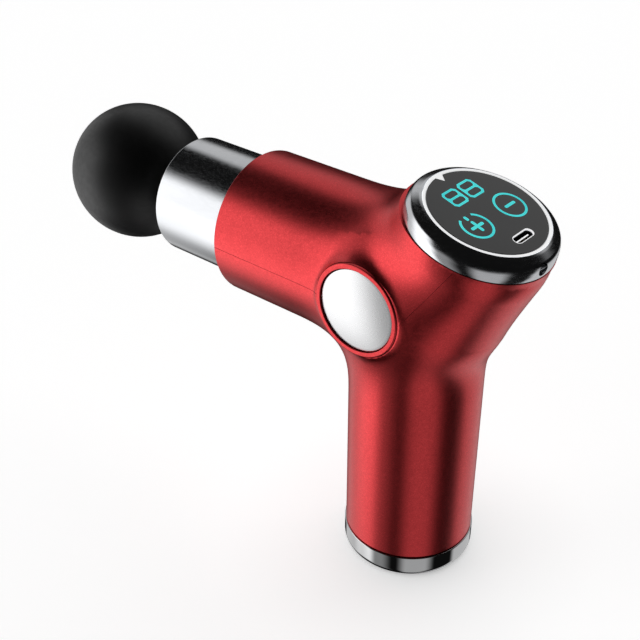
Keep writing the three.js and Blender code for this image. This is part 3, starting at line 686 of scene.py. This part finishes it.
def build_nose():
    """The sleeve and its end plate, the seal round the piston, and the head on its stem."""
    flange_r, flange_rear, flange_front = 20.8, 54, 56
    sleeve = soften([
        (SLEEVE_BORE_R, flange_rear),
        (flange_r, flange_rear),
        (flange_r, flange_front),
        (SLEEVE_R, flange_front),
        (SLEEVE_R, SLEEVE_FRONT, 0.9),
        (SLEEVE_BORE_R, SLEEVE_FRONT, 0.2),
    ], 0.12, 6)
    finish_piece(turned("nose_sleeve", sleeve, NOSE, 160), "nose_sleeve", ["nose_sleeve"])
    plate_rear, plate_front, seal_rear, seal_front = 89, 91.4, 89.2, 91
    plate = soften([
        (13.4, plate_rear), (18.5, plate_rear), (18.5, plate_front), (13.4, plate_front),
    ], 0.25, 4)
    finish_piece(turned("nose_plate", plate, NOSE), "nose_plate", ["nose_plate"])
    seal = soften([
        (11.15, seal_rear),
        (13, seal_rear),
        (13, seal_front),
        (12.3, seal_front),
        (12.0, seal_front - 0.4),
        (11.6, seal_front),
        (11.15, seal_front),
    ], 0.15, 4)
    finish_piece(turned("dust_seal", seal, NOSE), "dust_seal", ["dust_seal"])
    piston_rear, piston_bore_r, web_rear, web_front = 24, 9, 69, 70.5
    piston = soften([
        (piston_bore_r, piston_rear),
        (PISTON_R, piston_rear, 0.4),
        (PISTON_R, PISTON_FRONT, 0.6),
        (STEM_BORE_R, PISTON_FRONT, 0.2),
        (STEM_BORE_R, web_front),
        (0, web_front),
        (0, web_rear),
        (piston_bore_r, web_rear),
    ], 0.15, 5)
    pin = basis(Z, X, Y, (WRIST_X, 0, AXIS_Z))
    body = cut(turned("piston", piston, NOSE), cylinder(2, -14, 14, pin, 32))
    finish_piece(body, "piston", ["piston"])
    stem_rear, stem_front, stem_bore_r, bore_rear = 72, 118, 5.6, 88
    groove_r, groove_rear, groove_front = 6.4, 79, 80.8
    stem = soften([
        (0, stem_rear),
        (STEM_R, stem_rear, 0.8),
        (STEM_R, groove_rear),
        (groove_r, groove_rear),
        (groove_r, groove_front),
        (STEM_R, groove_front),
        (STEM_R, stem_front),
        (stem_bore_r, stem_front),
        (stem_bore_r, bore_rear),
        (0, bore_rear),
    ], 0.15, 5)
    finish_piece(turned("head_stem", stem, NOSE), "head_stem", ["head_stem"])
    inner_r = BALL_R - BALL_WALL
    outside = arc(BALL_R, BALL_X, math.asin(STEM_BORE_R / BALL_R), math.pi, 96)
    inside = arc(inner_r, BALL_X, math.pi, math.asin(STEM_BORE_R / inner_r), 40)
    lip = outside[0]
    rounded = soften([inside[-1], (lip[0], lip[1], 0.6), outside[1]], 0.0, 6)
    ball = turned("ball_head", rounded[1:-1] + outside[1:] + inside, NOSE, 160)
    finish_piece(ball, "ball_head", ["ball_head"])


# ------------------------------------------------------------------ control panel
PORT_U = -12.1
PORT_CUT = (8.62, 3.12)
# The rim round the port glows white: a painted highlight on the port's edge.
PORT_RIM = (8.6, 3.1)
PORT_RIM_HOLE = (8.24, 2.74)
SOCKET = (8.56, 3.06)
SOCKET_HOLE = (8.1, 2.6)
CONTACT_PITCH = 0.6
EYE_W = -3.6
EYE_TURN = math.radians(6)
EYE_R = 1.85
LANYARD_PIN_AT = 21.2
PIN_HALF = 3.2
GLASS_TOP = -0.05
INK_TOP = -0.01
INK_FROM = -0.4
INK = 0.74  # the width of a lit line
KEY_OPENING = math.radians(32)


def marker(grow):
    """The small pointer in the light ring, at the panel's front."""
    return [(15.2 - grow * 1.4, 0), (18 + grow, -2 - grow), (18 + grow, 2 + grow)]


def chamfered(u, v, du, dv, corner):
    """A rectangle with its corners taken off, centred on (u, v)."""
    a, b = du / 2, dv / 2
    quarter = [(a - corner, b), (a, b - corner)]
    outline = []
    for sign_u, sign_v, flip in ((1, 1, 0), (1, -1, 1), (-1, -1, 0), (-1, 1, 1)):
        corners = [(u + sign_u * p, v + sign_v * q) for p, q in quarter]
        outline += corners[::-1] if flip else corners
    return outline


def port_outline(size):
    return shifted(stadium(*size), PORT_U)


def bar(name, u, v, du, dv):
    return extruded(name, chamfered(u, v, du, dv, 0.28), INK_FROM, INK_TOP, PANEL)


def joined(name, pieces):
    """One object from several separate flat inlays."""
    bpy.ops.object.select_all(action="DESELECT")
    for piece in pieces:
        piece.select_set(True)
    bpy.context.view_layer.objects.active = pieces[0]
    bpy.ops.object.join()
    pieces[0].name = name
    return pieces[0]


def ring_stroke(name, u, v, radius, start, end, steps):
    """An arc of a ring as a flat inlay, by its outer radius."""
    angles = np.linspace(start, end, steps + 1)
    outer = [(u + radius * math.cos(a), v + radius * math.sin(a)) for a in angles]
    inner_r = radius - INK
    inner = [(u + inner_r * math.cos(a), v + inner_r * math.sin(a)) for a in angles[::-1]]
    return extruded(name, outer + inner, INK_FROM, INK_TOP, PANEL)


def digit(name, u0, u1, v0, v1):
    """A figure eight made of one outline with two windows."""
    u, v = (u0 + u1) / 2, (v0 + v1) / 2
    figure = extruded(name, chamfered(u, v, u1 - u0, v1 - v0, 0.9), INK_FROM, INK_TOP, PANEL)
    tall, wide = (u1 - u0 - 3 * INK) / 2, v1 - v0 - 2 * INK
    for side in (-1, 1):
        window = chamfered(u + side * (tall + INK) / 2, v, tall, wide, 0.6)
        cut(figure, extruded("tool", window, -1, 1, PANEL))
    return finish_piece(figure, name, [], "cyan_light", "housing")


def build_bezel():
    rim = soften([
        (LIGHT_RING_R + 0.15, -0.02, 0.08),
        (19.3, -0.44, 0.12),
        (21.5, -1.85, 0.7),
        (22.08, -3.3, 0.6),
        (BEZEL_R, -5.0, 0.6),
        (BEZEL_R, -BEZEL_H, 0.1),
        (18.5, -BEZEL_H),
        (18.5, -9.5),
        (17.5, -9.5),
        (17.5, -3.3),
        (15.7, -3.3),
        (15.7, -2.1),
        (LIGHT_RING_R + 0.15, -2.1),
    ], 0.1, 5)
    bezel = turned("panel_bezel", rim, PANEL, 192)
    eye_way = -math.cos(EYE_TURN) * PANEL_U + math.sin(EYE_TURN) * Y
    eye_side = math.sin(EYE_TURN) * PANEL_U + math.cos(EYE_TURN) * Y
    eye_at = PANEL_AT + EYE_W * PANEL_W
    rear = basis(PANEL_W, -eye_side, eye_way, eye_at)
    across = basis(PANEL_W, -eye_way, eye_side, eye_at + LANYARD_PIN_AT * eye_way)
    cut(bezel, cylinder(EYE_R, 20, 24, rear, 48), cylinder(0.65, -3.4, 3.4, across, 24))
    finish_piece(bezel, "panel_bezel", ["panel_bezel"])
    pin = soften([(0, -PIN_HALF), (0.5, -PIN_HALF), (0.5, PIN_HALF), (0, PIN_HALF)], 0.1, 3)
    finish_piece(turned("lanyard_pin", pin, across, 32), "lanyard_pin", ["lanyard_pin"])


def build_glass():
    """The light ring with its pointer, and the glass with the socket's hole."""
    light = soften([
        (GLASS_R + 0.2, -1.9),
        (LIGHT_RING_R, -1.9),
        (LIGHT_RING_R, -0.03, 0.15),
        (GLASS_R + 0.2, -0.03, 0.15),
    ], 0.05, 4)
    ring = turned("panel_light_ring", light, PANEL, 160)
    combine(ring, "UNION", extruded("tool", marker(0), -1, -0.03, PANEL))
    finish_piece(ring, "panel_light_ring", ["panel_light_ring"])

    disc = soften([(0, -1.2), (GLASS_R, -1.2), (GLASS_R, GLASS_TOP, 0.15), (0, GLASS_TOP)], 0.05, 4)
    glass = turned("panel_glass", disc, PANEL, 160)
    port = port_outline(PORT_CUT)
    cut(glass, extruded("tool", port, -3, 1, PANEL), extruded("tool", marker(0.15), -3, 1, PANEL))
    finish_piece(glass, "panel_glass", ["panel_glass"])


def build_socket():
    shell = extruded("usb_shell", port_outline(SOCKET), -7.6, -0.55, PANEL)
    cut(shell, extruded("tool", port_outline(SOCKET_HOLE), -9, 1, PANEL))
    finish_piece(shell, "usb_shell", ["usb_shell"])
    floor = extruded("usb_tongue", port_outline((8.0, 2.3)), -7.4, -5.6, PANEL)
    blade = chamfered(PORT_U, 0, 0.7, 6.6, 0.15)
    combine(floor, "UNION", extruded("tool", blade, -6, -1.1, PANEL))
    finish_piece(floor, "usb_tongue", ["usb_tongue"])
    # A real rim round the port, made to glow: a painted highlight.
    rim = extruded("port_rim_painted_highlight", port_outline(PORT_RIM), -0.5, INK_TOP, PANEL)
    cut(rim, extruded("tool", port_outline(PORT_RIM_HOLE), -9, 1, PANEL))
    finish_piece(rim, "port_rim_painted_highlight", [], "white_plastic", "housing")
    # A glowing strip along the tongue's front edge: a painted highlight.
    edge = extruded("tongue_edge_painted_highlight", chamfered(PORT_U, 0, 0.34, 6.2, 0.1), -1.15, -1.0, PANEL)
    finish_piece(edge, "tongue_edge_painted_highlight", [], "white_plastic", "housing")
    contact = []
    for side in (-1, 1):
        for n in range(10):
            v = CONTACT_PITCH * (n - 4.5)
            spot = chamfered(PORT_U + side * 0.37, v, 0.06, 0.3, 0.01)
            contact.append(extruded("contact", spot, -5.4, -1.5, PANEL))
    finish_piece(joined("usb_contacts", contact), "usb_contacts", [], "brass", "housing")


def build_lit_marks():
    """Two figure eights, and the signs on the touch keys in their rings."""
    digit("digit_left", 5.7, 12.0, 0.45, 6.7)
    digit("digit_right", 5.65, 12.2, -7.1, -0.7)
    minus = [
        ring_stroke("minus", -2.0, -8.2, 5.1, 0, 2 * math.pi * 0.9999, 96),
        bar("minus", -1.9, -8.3, 0.95, 4.75),
    ]
    finish_piece(joined("key_minus_ink", minus), "key_minus_ink", [], "cyan_light", "housing")
    plus = [
        ring_stroke("plus", -2.07, 8.18, 5.05, KEY_OPENING, 2 * math.pi - KEY_OPENING, 90),
        bar("plus", -2.2, 8.15, 4.4, 1.0),
        bar("plus", -2.2, 6.55, 1.0, 2.2),
        bar("plus", -2.2, 9.75, 1.0, 2.2),
        bar("plus", 1.5, 8.4, 1.75, 1.0),
    ]
    finish_piece(joined("key_plus_ink", plus), "key_plus_ink", [], "cyan_light", "housing")


# ------------------------------------------------------------------ studio and camera
AMBIENT = 0.006
# Strength, azimuths from +X toward +Y, elevations, and width of the soft edge, in degrees.
SOFT_BOXES = [
    (0.66, (-25, 60), (-51, 32), 14),
    (0.8, (20, 59), (-42, 32), 20),
    (0.3, (45, 88), (-60, -5), 22),
    (0.6, (-125, -28), (18, 66), 14),
    (0.65, (-144, -80), (-80, -20), 12),
    (0.5, (116, 168), (-80, -20), 20),
]
FLOOR_HALF = 3.0
FLOOR_GLOW = 0.82
CONTACT_SHADOW_REACH = 0.045
CONTACT_SHADOW_GAMMA = 0.45
LENS = 62.34
SENSOR_WIDTH = 36
CAMERA_AT = (-0.1596, 0.2345, 0.2641)
CAMERA_HEADING = math.radians(-49.71)
CAMERA_DROP = math.radians(32.28)


def build_world():
    """Soft boxes around the object, by direction; the camera itself sees plain white."""
    world = bpy.data.worlds.new("studio")
    bpy.context.scene.world = world
    world.use_nodes = True
    nodes, links = world.node_tree.nodes, world.node_tree.links
    background = nodes["Background"]
    out = nodes["World Output"]
    place = nodes.new("ShaderNodeTexCoord")
    split = nodes.new("ShaderNodeSeparateXYZ")
    links.new(place.outputs["Generated"], split.inputs[0])

    def math_node(kind, first, second=None, clamp=False):
        node = nodes.new("ShaderNodeMath")
        node.operation = kind
        node.use_clamp = clamp
        for socket, value in zip(node.inputs, (first, second)):
            if value is None:
                continue
            if isinstance(value, (int, float)):
                socket.default_value = value
            else:
                links.new(value, socket)
        return node.outputs[0]

    def softened(value, edge, centre, half):
        """1 where value is within half of centre, falling to 0 over edge, in radians."""
        away = math_node("ABSOLUTE", math_node("SUBTRACT", value, centre))
        t = math_node("DIVIDE", math_node("SUBTRACT", half + edge / 2, away), edge, clamp=True)
        square = math_node("MULTIPLY", t, t)
        return math_node("MULTIPLY", square, math_node("SUBTRACT", 3, math_node("MULTIPLY", t, 2)))

    rise = math_node("ARCSINE", split.outputs["Z"])

    def box_light(strength, az, el, edge):
        """A soft box from az[0] to az[1] and el[0] to el[1], in degrees."""
        middle_az = math.radians(sum(az) / 2)
        x, y = split.outputs["X"], split.outputs["Y"]
        c, s = math.cos(middle_az), math.sin(middle_az)
        ahead = math_node("ADD", math_node("MULTIPLY", x, c), math_node("MULTIPLY", y, s))
        aside = math_node("SUBTRACT", math_node("MULTIPLY", y, c), math_node("MULTIPLY", x, s))
        turn = math_node("ARCTAN2", aside, ahead)
        soft = math.radians(edge)
        wide = softened(turn, soft, 0.0, math.radians(az[1] - az[0]) / 2)
        tall = softened(rise, soft, math.radians(sum(el) / 2), math.radians(el[1] - el[0]) / 2)
        return math_node("MULTIPLY", math_node("MULTIPLY", wide, tall), strength)

    total = AMBIENT
    for row in SOFT_BOXES:
        total = math_node("ADD", box_light(*row), total)
    path = nodes.new("ShaderNodeLightPath")
    seen = path.outputs["Is Camera Ray"]
    keep = math_node("SUBTRACT", 1.0, seen)
    strength = math_node("ADD", math_node("MULTIPLY", total, keep), seen)
    links.new(strength, background.inputs["Strength"])
    background.inputs["Color"].default_value = (1, 1, 1, 1)
    links.new(background.outputs[0], out.inputs["Surface"])


def build_floor():
    """A white, glowing floor, a little darker where the object stands on it: a painted contact
    shadow.
    """
    half = FLOOR_HALF
    corners = [(-half, -half, 0.0), (half, -half, 0.0), (half, half, 0.0), (-half, half, 0.0)]
    mesh = bpy.data.meshes.new("floor")
    mesh.from_pydata(corners, [], [(0, 1, 2, 3)])
    floor = bpy.data.objects.new("floor", mesh)
    bpy.context.scene.collection.objects.link(floor)
    material = bpy.data.materials.new("floor_white")
    material.use_nodes = True
    shader = material.node_tree.nodes["Principled BSDF"]
    shader.inputs["Base Color"].default_value = (0.9, 0.9, 0.9, 1)
    shader.inputs["Roughness"].default_value = 1.0
    shader.inputs["Specular IOR Level"].default_value = 0.0
    nodes, links = material.node_tree.nodes, material.node_tree.links
    near = nodes.new("ShaderNodeAmbientOcclusion")
    near.inputs["Distance"].default_value = CONTACT_SHADOW_REACH
    near.samples = 8
    faint = nodes.new("ShaderNodeGamma")
    faint.inputs["Gamma"].default_value = CONTACT_SHADOW_GAMMA
    links.new(near.outputs["Color"], faint.inputs["Color"])
    links.new(faint.outputs["Color"], shader.inputs["Emission Color"])
    shader.inputs["Emission Strength"].default_value = FLOOR_GLOW
    mesh.materials.append(material)
    floor.visible_glossy = False
    floor.visible_diffuse = False
    floor.visible_shadow = False


def build_camera():
    data = bpy.data.cameras.new("camera")
    data.lens = LENS
    data.sensor_width = SENSOR_WIDTH
    data.clip_start = 0.01
    camera = bpy.data.objects.new("camera", data)
    bpy.context.scene.collection.objects.link(camera)
    forward = Vector((
        math.cos(CAMERA_DROP) * math.cos(CAMERA_HEADING),
        math.cos(CAMERA_DROP) * math.sin(CAMERA_HEADING),
        -math.sin(CAMERA_DROP),
    ))
    camera.location = CAMERA_AT
    camera.rotation_mode = "QUATERNION"
    camera.rotation_quaternion = forward.to_track_quat("-Z", "Y")
    bpy.context.scene.camera = camera


build_camera()
build_housing()
build_sides()
build_base()
build_nose()
build_bezel()
build_glass()
build_socket()
build_lit_marks()
for name, obj in frame["nodes"].items():
    if name not in shown_for:
        for place in obj.material_slots:
            place.material = MATERIALS[SLOT_OF[name]]
build_world()
build_floor()
bpy.context.scene.view_settings.view_transform = "Standard"
